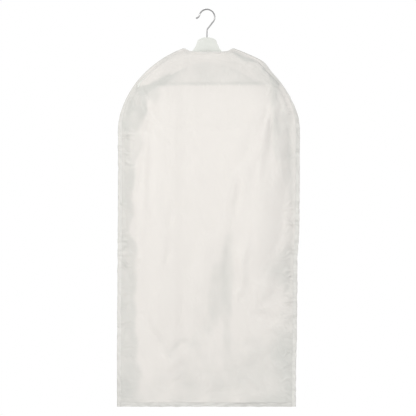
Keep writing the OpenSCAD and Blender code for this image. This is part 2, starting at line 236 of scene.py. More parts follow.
# Folds stand out of the film, or into it if their height is below 0
FRONT_FOLDS = [
    # Edges of the fuller middle
    ([(-0.186, -0.25), (-0.192, -0.33), (-0.214, -0.52), (-0.206, -0.68), (-0.207, -0.90)],
     0.0070, 0.011, 1.6),
    ([(-0.168, -0.27), (-0.176, -0.38), (-0.186, -0.50), (-0.182, -0.62)], -0.0042, 0.009, 1.7),
    ([(0.186, -0.24), (0.194, -0.35), (0.212, -0.48), (0.220, -0.56)], 0.0040, 0.010, 1.6),
    ([(0.166, -0.25), (0.176, -0.36), (0.190, -0.47)], -0.0045, 0.008, 1.6),
    ([(-0.236, -0.27), (-0.242, -0.40), (-0.246, -0.56)], -0.0040, 0.009, 1.8),
    ([(0.206, -0.24), (0.230, -0.38), (0.242, -0.54)], -0.0036, 0.010, 1.7),
    # Soft valleys and shadow wedges of the middle
    ([(0.088, -0.46), (0.082, -0.55), (0.078, -0.64)], -0.0062, 0.011, 1.9),
    ([(0.110, -0.40), (0.106, -0.52), (0.104, -0.60)], 0.0045, 0.014, 2),
    ([(0.070, -0.60), (0.056, -0.72), (0.036, -0.84), (0.026, -0.93)], -0.0085, 0.026, 2),
    ([(0.106, -0.64), (0.098, -0.74), (0.092, -0.84)], 0.0070, 0.013, 1.9),
    ([(0.000, -0.60), (-0.006, -0.74), (-0.016, -0.86)], 0.0040, 0.020, 2),
    ([(-0.107, -0.53), (-0.109, -0.65)], -0.0038, 0.008, 1.7),
    ([(-0.112, -0.64), (-0.118, -0.77)], -0.0038, 0.008, 1.7),
    ([(-0.090, -0.55), (-0.096, -0.72)], 0.0014, 0.010, 1.9),
    ([(-0.188, -0.85), (-0.160, -0.925), (-0.136, -0.965), (-0.106, -1.003), (-0.078, -0.972),
      (-0.049, -0.955), (-0.006, -0.90)], -0.0036, 0.013, 1.8),
    ([(-0.180, -0.90), (-0.140, -0.990), (-0.104, -1.030), (-0.060, -0.992), (-0.010, -0.955)],
     0.0036, 0.012, 1.8),
    ([(0.118, -0.70), (0.165, -0.745), (0.215, -0.75)], -0.0062, 0.022, 2),
    ([(0.112, -0.79), (0.160, -0.815), (0.220, -0.81)], 0.0045, 0.019, 2),
    ([(0.128, -0.87), (0.190, -0.90), (0.236, -0.89)], -0.0052, 0.014, 1.9),
    ([(0.088, -0.80), (0.092, -0.85)], 0.0035, 0.007, 1.7),
    ([(0.060, -0.97), (0.120, -1.005), (0.190, -0.985)], 0.0035, 0.018, 2),
    # Lower corners
    ([(0.135, -1.010), (0.200, -1.080), (0.243, -1.125)], -0.0036, 0.010, 1.7),
    ([(0.178, -1.005), (0.232, -1.070)], 0.0046, 0.009, 1.6),
    ([(0.100, -1.040), (0.165, -1.110)], 0.0030, 0.010, 1.7),
    ([(-0.240, -1.030), (-0.195, -1.095), (-0.150, -1.13)], -0.0040, 0.010, 1.8),
    ([(-0.225, -1.000), (-0.180, -1.060)], 0.0030, 0.010, 1.8),
    ([(0.020, -1.04), (0.034, -1.13)], 0.0030, 0.013, 2),
    ([(-0.090, -1.06), (-0.080, -1.13)], -0.0030, 0.012, 2),
    ([(-0.030, -1.06), (-0.034, -1.13)], -0.0022, 0.011, 2),
    # Pull from the neck opening over the shoulders
    ([(0.068, -0.124), (0.100, -0.139), (0.132, -0.160)], -0.0040, 0.0050, 1.2),
    ([(0.060, -0.134), (0.096, -0.152), (0.128, -0.174)], 0.0030, 0.0060, 1.3),
    ([(0.136, -0.142), (0.149, -0.160), (0.155, -0.176)], -0.0030, 0.0045, 1.2),
    ([(0.146, -0.140), (0.160, -0.158), (0.166, -0.172)], 0.0030, 0.0045, 1.1),
    ([(0.170, -0.164), (0.184, -0.184), (0.193, -0.192)], 0.0030, 0.0045, 1.1),
    ([(0.182, -0.206), (0.196, -0.234), (0.207, -0.214)], -0.0042, 0.0050, 1.2),
    ([(-0.060, -0.128), (-0.072, -0.165), (-0.078, -0.205)], 0.0022, 0.008, 1.5),
    ([(0.048, -0.136), (0.055, -0.170), (0.052, -0.205)], 0.0022, 0.008, 1.5),
    ([(-0.056, -0.150), (-0.100, -0.168), (-0.150, -0.205), (-0.172, -0.222)], 0.0030, 0.010, 1.7),
    ([(-0.100, -0.192), (-0.135, -0.212), (-0.160, -0.236)], -0.0048, 0.0060, 1.4),
    ([(-0.190, -0.226), (-0.208, -0.262), (-0.222, -0.31)], -0.0070, 0.007, 1.4),
    ([(-0.150, -0.236), (-0.140, -0.29), (-0.145, -0.36)], -0.0025, 0.012, 1.8),
]
BACK_FOLDS = [
    ([(-0.20, -0.27), (-0.207, -0.45), (-0.205, -0.70)], 0.0040, 0.012, 1.8),
    ([(0.195, -0.27), (0.212, -0.45), (0.206, -0.66), (0.196, -0.86)], 0.0045, 0.012, 1.8),
    ([(0.060, -0.30), (0.046, -0.46), (0.058, -0.64), (0.050, -0.80)], -0.0045, 0.017, 2),
    ([(0.118, -0.34), (0.124, -0.55), (0.104, -0.75)], 0.0036, 0.014, 2),
    ([(-0.020, -0.28), (-0.028, -0.50), (-0.012, -0.70)], 0.0032, 0.016, 2),
    ([(0.010, -0.84), (0.070, -0.95), (0.140, -0.92), (0.175, -0.84)], -0.0040, 0.012, 1.7),
    ([(0.020, -0.90), (0.080, -0.99), (0.150, -0.965)], 0.0030, 0.010, 1.8),
    ([(0.150, -1.02), (0.215, -1.10)], -0.0030, 0.010, 1.6),
    ([(0.060, -0.120), (0.090, -0.150), (0.150, -0.185)], 0.0020, 0.0055, 1.3),
    ([(0.030, -0.128), (0.040, -0.175), (0.036, -0.24)], 0.0018, 0.008, 1.5),
    ([(-0.150, -0.44), (-0.146, -0.60), (-0.155, -0.74)], 0.0026, 0.010, 1.8),
    ([(-0.176, -0.80), (-0.160, -0.95)], -0.0026, 0.010, 1.8),
]


# Half-width of the fuller middle of the front, inside the clinging margins: depth down, width
MIDDLE_EDGE = {
    -1: ([0.24, 0.33, 0.50, 0.61, 0.68, 0.90, 1.00],
         [0.180, 0.184, 0.216, 0.217, 0.205, 0.208, 0.194]),
    1: ([0.23, 0.35, 0.52, 0.70, 1.00], [0.183, 0.197, 0.226, 0.222, 0.210]),
}


def middle_edge(z, side):
    return np.interp(-z, *MIDDLE_EDGE[side])


def front_start(x, z):
    """The front before it settles: a fuller middle between flatter margins."""
    full = slack(x, z)
    for side in (-1, 1):
        inside = panel_w(z) - side * x
        margin = np.maximum(0.02, panel_w(z) - middle_edge(z, side))
        stepped = 0.28 * ease(inside / margin / 1.2) + 0.72 * ease((inside - margin * 0.75) / 0.090)
        weight = 0.85 * ease((-0.27 - z) / 0.09) * (side * x > 0)
        full = full * (1 - weight) + stepped * weight
    y = seam_y(z) - front_depth(z) * full
    inner = ease((panel_w(z) - np.abs(x)) / 0.02)
    long = 0.0014 * ripple(x / 0.055, z / 0.30, 3) * ease((-0.24 - z) / 0.1)
    broad = 0.0024 * ripple(x / 0.16, z / 0.24, 5) * ease((-0.30 - z) / 0.1)
    return y - inner * (folds(x, z, FRONT_FOLDS) + long + broad)


def back_start(x, z):
    inner = ease((panel_w(z) - np.abs(x)) / 0.02) * ease((np.abs(x - ZIP_X) - ZIP_HALF) / 0.03)
    long = 0.0022 * ripple(x / 0.06, z / 0.28, 13) * ease((-0.24 - z) / 0.1)
    return on_back(x, z) + inner * (folds(x, z, BACK_FOLDS) + long)


def on_back(x, z):
    return seam_y(z) + back_depth(z) * slack(x, z)


# ---- Mesh helpers ----
def make(name, co, faces, smooth=True):
    points = np.asarray(co, float).reshape(-1, 3).tolist()
    mesh = bpy.data.meshes.new(name)
    mesh.from_pydata(points, [], [list(map(int, f)) for f in faces])
    mesh.update()
    if smooth:
        mesh.polygons.foreach_set("use_smooth", [True] * len(mesh.polygons))
    obj = bpy.data.objects.new(name, mesh)
    scene.collection.objects.link(obj)
    return obj


def quads(n, m, wrap=False, flip=False):
    i = np.arange(n * m).reshape(n, m)
    if wrap:
        i = np.concatenate([i, i[:, :1]], 1)
    f = np.stack([i[:-1, :-1], i[:-1, 1:], i[1:, 1:], i[1:, :-1]], -1).reshape(-1, 4)
    return f[:, ::-1] if flip else f


def finer(p):
    """A grid of points with a smooth point between each two, along rows and columns."""
    for axis in (0, 1):
        q = np.moveaxis(p, axis, 0)
        ext = np.concatenate([2 * q[:1] - q[1:2], q, 2 * q[-1:] - q[-2:-1]])
        middle = (9 * (ext[1:-2] + ext[2:-1]) - ext[:-3] - ext[3:]) / 16
        out = np.empty((2 * len(q) - 1, *q.shape[1:]))
        out[0::2], out[1::2] = q, middle
        p = np.moveaxis(out, 0, axis)
    return p


def thicken(obj, t, offset=-1.0):
    """Gives a sheet its thickness, with a crisp outline that doesn't shade the face."""
    used = np.empty(len(obj.data.loops), int)
    obj.data.loops.foreach_get("edge_index", used)
    outline = np.bincount(used, minlength=len(obj.data.edges)) == 1
    obj.data.edges.foreach_set("use_edge_sharp", outline.tolist())
    mod = obj.modifiers.new("Thickness", "SOLIDIFY")
    mod.thickness, mod.offset, mod.use_even_offset = t, offset, False
    return obj


def paint(obj, name, values):
    """Stores one number per vertex for the material to read."""
    attr = obj.data.attributes.new(name, "FLOAT", "POINT")
    attr.data.foreach_set("value", np.asarray(values, np.float32).ravel())


def circle(sides):
    a = np.linspace(0, math.tau, sides, endpoint=False)
    return np.cos(a), np.sin(a)


def lathe(name, profile, centre, axis="Z", sides=48):
    """A turned piece: profile is (radius, height) pairs along the axis."""
    c, s = circle(sides)
    r, h = np.array(profile).T
    ring = np.stack([np.outer(r, c), np.outer(r, s), np.repeat(h[:, None], sides, 1)], -1)
    if axis == "X":
        ring = ring[..., [2, 0, 1]]
    return make(name, ring + np.array(centre), quads(len(profile), sides, wrap=True))


def tube(name, line, radius, sides, across=(0.0, 1.0, 0.0)):
    """A round tube along a line of points, closed at both ends. Across never lies along it."""
    line = np.asarray(line, float)
    step = np.gradient(line, axis=0)
    step /= np.linalg.norm(step, axis=1, keepdims=True)
    u = np.cross(step, np.array(across))
    u /= np.linalg.norm(u, axis=1, keepdims=True)
    v = np.cross(step, u)
    c, s = circle(sides)
    r = np.broadcast_to(radius, (len(line),))[:, None, None]
    ring = line[:, None] + r * (c[None, :, None] * u[:, None] + s[None, :, None] * v[:, None])
    faces = [*quads(len(line), sides, wrap=True, flip=True)]
    n = len(line) * sides
    co = np.concatenate([ring.reshape(-1, 3), line[:1], line[-1:]])
    for k in range(sides):
        j = (k + 1) % sides
        faces.append((n, j, k))
        faces.append((n + 1, n - sides + k, n - sides + j))
    return make(name, co, faces)


def softened(name, nodes, voxel, passes):
    """A copy of CAD nodes with every edge gently rounded."""
    co, faces = [], []
    for node in nodes:
        base, mesh = len(co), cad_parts[node].data
        co += [tuple(v.co) for v in mesh.vertices]
        faces += [[base + i for i in f.vertices] for f in mesh.polygons]
    obj = make(name, co, faces)
    remesh = obj.modifiers.new("Remesh", "REMESH")
    remesh.mode, remesh.voxel_size, remesh.use_smooth_shade = "VOXEL", voxel, True
    relax = obj.modifiers.new("Soften", "SMOOTH")
    relax.factor, relax.iterations = 0.5, passes
    return obj


def one_half(obj, name, side):
    """The left (-1) or right (1) half of a piece, cut flat at the middle."""
    graph = bpy.context.evaluated_depsgraph_get()
    mesh = bpy.data.meshes.new_from_object(obj.evaluated_get(graph))
    bm = bmesh.new()
    bm.from_mesh(mesh)
    cut = bmesh.ops.bisect_plane(
        bm, geom=[*bm.verts, *bm.edges, *bm.faces], dist=1e-6, plane_co=(0, 0, 0),
        plane_no=(1, 0, 0), clear_inner=side > 0, clear_outer=side < 0,
    )
    edges = [e for e in cut["geom_cut"] if isinstance(e, bmesh.types.BMEdge)]
    bmesh.ops.triangle_fill(bm, edges=edges, use_beauty=True)
    bmesh.ops.recalc_face_normals(bm, faces=bm.faces)
    bm.to_mesh(mesh)
    bm.free()
    half = bpy.data.objects.new(name, mesh)
    scene.collection.objects.link(half)
    return half


# ---- Materials ----
class Nodes:
    """Builds one procedural material around a Principled shader."""

    def __init__(self, name):
        self.mat = bpy.data.materials.new(name)
        self.mat.use_nodes = True
        self.tree = self.mat.node_tree
        self.shader = self.tree.nodes["Principled BSDF"]
        self.place = self.add("ShaderNodeTexCoord").outputs["Object"]

    def add(self, kind, **values):
        node = self.tree.nodes.new(kind)
        for key, value in values.items():
            if hasattr(node, key):
                setattr(node, key, value)
            else:
                node.inputs[key.replace("_", " ")].default_value = value
        return node

    def link(self, a, b):
        self.tree.links.new(a, b)

    def stretched(self, scale):
        node = self.add("ShaderNodeMapping")
        node.inputs["Scale"].default_value = scale
        self.link(self.place, node.inputs["Vector"])
        return node.outputs["Vector"]

    def noise(self, scale, detail=4.0, stretch=(1, 1, 1), rough=0.55):
        node = self.add("ShaderNodeTexNoise", Scale=scale, Detail=detail, Roughness=rough)
        self.link(self.stretched(stretch), node.inputs["Vector"])
        return node.outputs["Fac"]

    def cells(self, scale):
        node = self.add("ShaderNodeTexVoronoi", Scale=scale)
        self.link(self.place, node.inputs["Vector"])
        return node.outputs["Distance"]

    def wave(self, scale, direction):
        node = self.add("ShaderNodeTexWave", Scale=scale, bands_direction=direction)
        self.link(self.place, node.inputs["Vector"])
        return node.outputs["Fac"]

    def attribute(self, name):
        node = self.add("ShaderNodeAttribute", attribute_name=name)
        return node.outputs["Fac"]

    def ramp(self, source, stops):
        node = self.add("ShaderNodeValToRGB")
        while len(node.color_ramp.elements) < len(stops):
            node.color_ramp.elements.new(0.5)
        for element, (place, colour) in zip(node.color_ramp.elements, stops):
            element.position, element.color = place, (*colour, 1)
        self.link(source, node.inputs["Fac"])
        return node.outputs["Color"]

    def span(self, source, low, high, start=0.3, stop=0.7):
        """Turns start to stop of the source into low to high."""
        node = self.add("ShaderNodeMapRange")
        ends = {"From Min": start, "From Max": stop, "To Min": low, "To Max": high}
        for key, value in ends.items():
            node.inputs[key].default_value = value
        self.link(source, node.inputs["Value"])
        return node.outputs["Result"]

    def sum(self, a, b, factor=1.0):
        """a plus factor times b."""
        node = self.add("ShaderNodeMath", operation="MULTIPLY_ADD")
        self.link(b, node.inputs[0])
        node.inputs[1].default_value = factor
        self.link(a, node.inputs[2])
        return node.outputs[0]

    def bumps(self, *rows):
        """Each row is (height source, strength, distance in metres)."""
        last = None
        for source, strength, distance in rows:
            node = self.add("ShaderNodeBump", Strength=strength, Distance=distance)
            self.link(source, node.inputs["Height"])
            if last:
                self.link(last, node.inputs["Normal"])
            last = node.outputs["Normal"]
        self.link(last, self.shader.inputs["Normal"])

    def done(self, colour, rough, **fixed):
        self.link(colour, self.shader.inputs["Base Color"])
        self.link(rough, self.shader.inputs["Roughness"])
        for key, value in fixed.items():
            self.shader.inputs[key.replace("_", " ")].default_value = value
        return self.mat


def film_material():
    clear, milky = (0.750, 0.750, 0.720), (0.892, 0.868, 0.836)
    milkiest = tuple(1.02 * c for c in milky)
    n = Nodes("film")
    haze_and_shading = n.sum(n.attribute("haze_and_shading"), n.noise(9, 5, (1, 1, 0.6)), 0.34)
    # The ramp also turns the painted shade and light in the attribute into colour: shade towards
    # the clear colour, light towards the milkiest
    colour = n.ramp(haze_and_shading, [(0.10, clear), (0.62, milky), (1.0, milkiest)])
    rough = n.span(n.noise(26, 5), 0.40, 0.60)
    n.bumps(
        (n.noise(38, 5, (1, 1, 0.55), 0.5), 0.12, 0.0020),
        (n.noise(170, 6, (1, 1, 0.7)), 0.14, 0.0008),
        (n.noise(900, 3), 0.08, 0.0002),
    )
    return n.done(
        colour, rough, Alpha=0.66, IOR=1.45, Specular_IOR_Level=0.40, Sheen_Weight=0.10
    )


def weld_material():
    pressed, plain, whitest = (0.625, 0.620, 0.594), (0.725, 0.722, 0.693), (0.83, 0.818, 0.788)
    n = Nodes("film_weld")
    haze_and_shading = n.sum(n.attribute("haze_and_shading"), n.noise(40, 4), 0.3)
    # Painted shade in the attribute takes the weld towards the darkest stop
    colour = n.ramp(haze_and_shading, [(0.0, pressed), (0.22, plain), (0.9, whitest)])
    rough = n.span(n.noise(80, 4), 0.42, 0.62)
    n.bumps((n.cells(620), 0.25, 0.0003), (n.noise(210, 4), 0.35, 0.0008))
    return n.done(colour, rough, Alpha=0.82, Specular_IOR_Level=0.4, Sheen_Weight=0.08)


def paint_material():
    n = Nodes("painted_wood")
    grain = n.noise(60, 5, (0.25, 1.0, 3.0))
    tone = n.sum(n.noise(14, 4), grain, 0.3)
    colour = n.ramp(tone, [(0.25, (0.650, 0.668, 0.630)), (0.75, (0.705, 0.722, 0.685))])
    rough = n.span(n.noise(35, 4), 0.34, 0.50)
    n.bumps((grain, 0.16, 0.0006), (n.noise(700, 3), 0.08, 0.0002))
    return n.done(colour, rough, Specular_IOR_Level=0.5, Coat_Weight=0.15, Coat_Roughness=0.3)


def steel_material():
    n = Nodes("zinc_steel")
    drawn = n.noise(420, 4, (1, 1, 0.12))
    tone = n.sum(n.noise(90, 5), drawn, 0.4)
    colour = n.ramp(tone, [(0.35, (0.27, 0.27, 0.275)), (0.95, (0.46, 0.46, 0.46))])
    rough = n.span(n.noise(150, 5), 0.24, 0.42)
    n.bumps((drawn, 0.20, 0.0002), (n.noise(260, 4), 0.10, 0.0004))
    return n.done(colour, rough, Metallic=1.0)


def tape_material():
    n = Nodes("zip_tape")
    weave = n.sum(n.wave(520, "X"), n.wave(640, "Z"))
    tone = n.sum(n.noise(60, 4), weave, 0.12)
    colour = n.ramp(tone, [(0.3, (0.86, 0.85, 0.825)), (0.85, (0.93, 0.92, 0.895))])
    rough = n.span(n.noise(120, 4), 0.68, 0.86)
    n.bumps((weave, 0.5, 0.0002), (n.noise(300, 4), 0.2, 0.0003))
    return n.done(colour, rough, Sheen_Weight=0.25, Sheen_Roughness=0.5)


def plastic_material(name, low, high, rough_low, rough_high):
    n = Nodes(name)
    colour = n.ramp(n.noise(240, 4), [(0.3, low), (0.75, high)])
    rough = n.span(n.noise(500, 4), rough_low, rough_high)
    n.bumps((n.noise(1500, 4), 0.12, 0.0001))
    return n.done(colour, rough, Specular_IOR_Level=0.5)


FILM = film_material()
WELD = weld_material()
PAINT = paint_material()
STEEL = steel_material()
TAPE = tape_material()
COIL = plastic_material("zip_plastic", (0.82, 0.81, 0.79), (0.90, 0.89, 0.87), 0.30, 0.45)
ENAMEL = plastic_material("zip_enamel", (0.80, 0.80, 0.785), (0.88, 0.88, 0.865), 0.18, 0.32)

BAG = "hanger_and_bag"


def finish_piece(obj, material, slot, body, *nodes):
    """Gives a piece its material and body, and the CAD nodes that it stands for. The slot is not
    used.
    """
    obj.data.materials.clear()
    obj.data.materials.append(material)
    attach(obj, body)
    if nodes:
        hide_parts(*nodes)
    return obj

# ---- Camera, straight in front ----
cam = bpy.data.objects.new("Camera", bpy.data.cameras.new("Camera"))
scene.collection.objects.link(cam)
cam.data.lens, cam.data.sensor_width = 200, 36
cam.location = (0.003, -6.735, -0.5768)
cam.rotation_euler = (math.pi / 2, 0, 0)
scene.camera = cam

# ---- Light: a bright even room, and a soft key from the upper left ----
scene.view_settings.view_transform = "Standard"
world = bpy.data.worlds.new("Studio")
scene.world = world
world.use_nodes = True
wt = world.node_tree
room, backdrop = wt.nodes["Background"], wt.nodes.new("ShaderNodeBackground")
room.inputs["Color"].default_value = (0.985, 0.99, 1.0, 1)
room.inputs["Strength"].default_value = 0.73
backdrop.inputs["Color"].default_value = (1, 1, 1, 1)
backdrop.inputs["Strength"].default_value = 1.0
choose, path = wt.nodes.new("ShaderNodeMixShader"), wt.nodes.new("ShaderNodeLightPath")
wt.links.new(path.outputs["Is Camera Ray"], choose.inputs[0])
wt.links.new(room.outputs[0], choose.inputs[1])
wt.links.new(backdrop.outputs[0], choose.inputs[2])
wt.links.new(choose.outputs[0], wt.nodes["World Output"].inputs["Surface"])


def area_light(name, place, aim, size, watts, colour):
    data = bpy.data.lights.new(name, "AREA")
    data.shape, data.size, data.size_y = "RECTANGLE", size[0], size[1]
    data.energy, data.color = watts, colour
    obj = bpy.data.objects.new(name, data)
    scene.collection.objects.link(obj)
    obj.location = place
    obj.rotation_euler = (Vector(aim) - Vector(place)).to_track_quat("-Z", "Y").to_euler()


area_light("Key", (-2.5, -2.2, 0.9), (0, 0, -0.40), (0.9, 1.2), 42, (1.0, 0.975, 0.94))
area_light("Fill", (2.0, -2.8, 0.1), (0, 0, -0.6), (1.6, 1.8), 27, (1.0, 0.985, 0.96))
area_light("Back", (0.6, 2.6, 0.9), (0, 0, -0.6), (2.0, 1.6), 42, (1.0, 0.985, 0.96))

# ---- Floor ----
FLOOR_Z, FLOOR_X, FLOOR_FRONT, FLOOR_BACK = -1.8, 4, -4, 2.2
floor = make("Floor", [
    (-FLOOR_X, FLOOR_FRONT, FLOOR_Z), (FLOOR_X, FLOOR_FRONT, FLOOR_Z),
    (FLOOR_X, FLOOR_BACK, FLOOR_Z), (-FLOOR_X, FLOOR_BACK, FLOOR_Z),
], [(0, 1, 2, 3)], smooth=False)
fm = Nodes("floor")
fm.bumps((fm.noise(30, 4), 0.05, 0.002))
floor_colour = fm.ramp(fm.noise(3, 3), [(0.3, (0.80, 0.795, 0.79)), (0.7, (0.83, 0.825, 0.82))])
floor.data.materials.append(fm.done(floor_colour, fm.span(fm.noise(12), 0.6, 0.8, 0.0, 1.0)))

# ---- Film panels: the grids they start from ----
SHOULDER_ROWS, SIDE_ROWS, COLS = 46, 113, 80


def row_heights(top, lower=SIDE_ROWS, upper=SHOULDER_ROWS):
    """Heights from the hem up: even on the sides, then even along the shoulder curve."""
    z = np.linspace(SIDE_Z, top, 400)
    s = np.concatenate([[0], np.cumsum(np.hypot(np.diff(z), np.diff(outline_w(z))))])
    shoulder = np.interp(np.linspace(0, s[-1], upper), s, z)
    return np.concatenate([np.linspace(PANEL_Z, SIDE_Z, lower, endpoint=False), shoulder])


def panel_grid(top, left, right, depth, neckline):
    """Points of a panel: left and right give its edges at each height."""
    heights = row_heights(top)
    z0 = np.repeat(heights[:, None], COLS + 1, 1)
    xl, xr = left(heights)[:, None], right(heights)[:, None]
    x = xl + (xr - xl) * np.linspace(0, 1, COLS + 1)
    y = depth(x, z0)
    z = z0 - (neck_dip(x) * near_neck(z0) if neckline else 0)
    return np.stack([x, y, z], -1)


def left_edge(z):
    return -panel_w(z)


def right_of_zip(z):
    return np.maximum(left_edge(z), ZIP_X + ZIP_HALF)


def left_of_zip(z):
    return np.full_like(z, ZIP_X - ZIP_HALF)


narrow_top = float(outline_z(-ZIP_X + ZIP_HALF + 0.008))
panels = {
    "front_film": panel_grid(PEAK_Z, left_edge, panel_w, front_start, True),
    "back_film_wide": panel_grid(PEAK_Z, right_of_zip, panel_w, back_start, True),
    "back_film_narrow": panel_grid(narrow_top, left_edge, left_of_zip, back_start, False),
}

# ---- Settle the film: a short cloth simulation over the hanger ----
SETTLE_FRAMES, SETTLE_SHARE, SETTLE_CAP = 22, 0.45, 0.008
CUT_WIDER, CUT_LONGER = 1.025, 1.012
GAP = 0.002


def hanger_solids():
    """Copies of the wood for the film to lie against."""
    solids = []
    for node in ("hanger_arm_left", "hanger_arm_right", "trouser_bar"):
        solid = bpy.data.objects.new(node + "_solid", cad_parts[node].data.copy())
        scene.collection.objects.link(solid)
        solid.modifiers.new("Collision", "COLLISION")
        solid.collision.thickness_outer, solid.collision.thickness_inner = GAP, 0.01
        solids.append(solid)
    return solids


def cloth_of(name, p):
    """A panel as cloth, held at its edges and pushed outward a little."""
    n, m, _ = p.shape
    obj = make("settle_" + name, p, quads(n, m))
    obj.shape_key_add(name="Basis")
    cut = obj.shape_key_add(name="Cut")
    cut.data.foreach_set("co", (p * np.array([CUT_WIDER, 0, CUT_LONGER])).ravel())
    edge = np.zeros((n, m), bool)
    edge[:, 0] = edge[:, -1] = edge[0] = edge[-1] = True
    group = obj.vertex_groups.new(name="held")
    group.add(np.flatnonzero(edge.ravel()).tolist(), 1.0, "REPLACE")
    mod = obj.modifiers.new("Cloth", "CLOTH")
    st = mod.settings
    st.quality, st.mass = 5, 0.15
    st.tension_stiffness = st.compression_stiffness = 50
    st.shear_stiffness, st.bending_stiffness = 5, 1.6
    st.effector_weights.gravity = 0.15
    st.vertex_group_mass = "held"
    st.rest_shape_key = cut
    st.use_pressure = True
    st.uniform_pressure_force = 0.22 if name.startswith("front") else -0.22
    mod.collision_settings.use_self_collision = False
    mod.collision_settings.distance_min = GAP
    mod.point_cache.frame_start, mod.point_cache.frame_end = 1, SETTLE_FRAMES
    return obj


def settle(grids):
    """Lets each panel settle a little, and returns the new points."""
    solids = hanger_solids()
    cloths = {name: cloth_of(name, p) for name, p in grids.items()}
    for f in range(1, SETTLE_FRAMES + 1):
        scene.frame_set(f)
    graph = bpy.context.evaluated_depsgraph_get()
    done = {}
    for name, obj in cloths.items():
        p = grids[name]
        q = np.empty(p.size)
        obj.evaluated_get(graph).data.vertices.foreach_get("co", q)
        move = (q.reshape(p.shape) - p) * SETTLE_SHARE
        size = np.linalg.norm(move, axis=-1, keepdims=True)
        done[name] = p + move * np.minimum(1, SETTLE_CAP / np.maximum(size, 1e-9))
    for obj in [*cloths.values(), *solids]:
        bpy.data.objects.remove(obj)
    scene.frame_set(1)
    return done


panels = settle(panels)


# ---- Fine shape, haze and painted shading of each panel ----
def arm_top_z(x):
    """The upper edge of the arms, as in the CAD source."""
    return -0.125 - 0.088 * (np.abs(x) / ARM_REACH) ** 2.4


def arm_under_z(x):
    """The lower edge of the arms, as in the CAD source."""
    return -0.151 - 0.090 * (np.minimum(np.abs(x), 0.19) / 0.176) ** 1.6


def over_arm(x, z, soft):
    """1 where a point is in front of an arm, falling to 0 outside it."""
    top = ease((arm_top_z(x) - z) / soft + 0.5)
    under = ease((z - arm_under_z(x)) / soft + 0.5)
    return top * under * ease((ARM_REACH - np.abs(x)) / soft + 0.5)


# Lines of painted shade, where the front is drawn clearer and darker, or of painted light, milkier,
# if their strength is below 0:
# line, strength, width, how crisp it is
PAINTED_SHADE_LINES = [
    ([(0.056, -0.118), (0.098, -0.140), (0.138, -0.167)], 2.3, 0.0055, 1.5),
    ([(0.070, -0.118), (0.110, -0.136), (0.150, -0.160)], -0.8, 0.0050, 1.6),
    ([(0.148, -0.150), (0.156, -0.172), (0.164, -0.200)], 0.9, 0.0050, 1.5),
    ([(0.172, -0.184), (0.194, -0.220), (0.214, -0.214)], 3.0, 0.0065, 1.5),
    ([(-0.120, -0.160), (-0.170, -0.196), (-0.205, -0.232), (-0.215, -0.245)], -1.3, 0.014, 2.2),
    ([(-0.090, -0.178), (-0.128, -0.202), (-0.160, -0.221), (-0.206, -0.238)], 2.5, 0.0085, 1.6),
    ([(-0.222, -0.230), (-0.186, -0.236), (-0.150, -0.228)], 2.2, 0.0060, 1.5),
    ([(-0.176, -0.228), (-0.184, -0.270), (-0.192, -0.350)], 1.3, 0.0080, 1.6),
    ([(-0.178, -0.240), (-0.181, -0.360), (-0.184, -0.500)], 0.6, 0.0060, 1.6),
    ([(-0.186, -0.440), (-0.185, -0.660), (-0.187, -0.880)], 0.7, 0.0080, 1.7),
    ([(-0.107, -0.520), (-0.110, -0.740)], 1.1, 0.0080, 1.8),
    ([(-0.212, -0.236), (-0.226, -0.275), (-0.236, -0.33)], 0.9, 0.0070, 1.5),
    ([(0.182, -0.240), (0.187, -0.330), (0.195, -0.410), (0.206, -0.520)], 2.0, 0.0120, 1.8),
    ([(0.214, -0.250), (0.228, -0.360), (0.240, -0.520)], 0.45, 0.0080, 1.7),
    ([(-0.166, -0.205), (-0.158, -0.250), (-0.146, -0.310)], 1.3, 0.0130, 2),
    ([(0.186, -0.200), (0.189, -0.245), (0.192, -0.300)], 1.3, 0.0110, 2),
    ([(-0.226, -0.250), (-0.238, -0.360), (-0.244, -0.520)], 0.5, 0.0080, 1.7),
    ([(0.062, -0.48), (0.060, -0.66), (0.056, -0.90), (0.056, -1.08)], 1.75, 0.017, 3),
    ([(0.046, -0.62), (0.020, -0.82), (0.006, -1.00)], 1.6, 0.022, 2.4),
    ([(0.084, -0.46), (0.082, -0.68)], 1.1, 0.0080, 1.8),
    ([(0.120, -0.800), (0.165, -0.775), (0.215, -0.715)], 0.80, 0.026, 2),
    ([(-0.188, -0.85), (-0.136, -0.965), (-0.106, -1.003), (-0.078, -0.958), (-0.049, -0.970),
      (-0.006, -0.90)], 1.0, 0.011, 1.8),
    ([(0.140, -0.985), (0.255, -1.010)], 0.55, 0.028, 2),
    ([(0.080, -1.150), (0.262, -1.130)], 1.0, 0.020, 2),
    ([(-0.262, -1.060), (-0.215, -1.150)], 0.9, 0.020, 2),
]


def middle_mask(x, z):
    """1 over the fuller middle of the front and 0 over its margins, with soft edges."""
    left = x + middle_edge(z, -1) + 0.010 * ripple(z / 0.12, x / 0.2, 401)
    notch = 0.045 * np.exp(-(((z + 0.74) / 0.07) ** 2))
    right = middle_edge(z, 1) - notch - x + 0.010 * ripple(z / 0.10, z * 0, 402)
    right_soft = 0.046 + 0.03 * ease((-0.5 - z) / 0.3)
    return ease(left / 0.026 + 0.5) * ease(right / right_soft + 0.5)


def middle_haze_and_shade(x, z):
    """Milkiest some way below the bar; painted shade makes it clearer and darker just under the bar
    and more and more towards the bottom.
    """
    low = ease((-0.93 + 0.09 * ease((x + 0.12) / 0.1) - z) / 0.22)
    near_bar = (0.38 + 0.16 * ease((np.abs(x) - 0.06) / 0.07)) * ease((z - BAR_Z) / 0.10 + 1)
    return middle_mask(x, z) * (1 - near_bar - 0.22 * ease((-0.50 - z) / 0.35) - 0.50 * low)


def margin_haze_and_light(x, z):
    """Clear, but lifted by painted light on the right, where the margin turns away from the key
    light, and near the top, more on the right; milkier where the left seam gathers.
    """
    haze_and_shading = 0.10 + 0.25 * ease(x / 0.1) * (1 - ease((-0.85 - z) / 0.12))
    haze_and_shading = haze_and_shading + (0.04 + 0.14 * ease((x + 0.1) / 0.1)) * ease((z + 0.34) / 0.10)
    return haze_and_shading + 0.14 * ease(-x / 0.1) * patches(z, PUCKERS[-1]) * ease((z + 0.68) / 0.06)


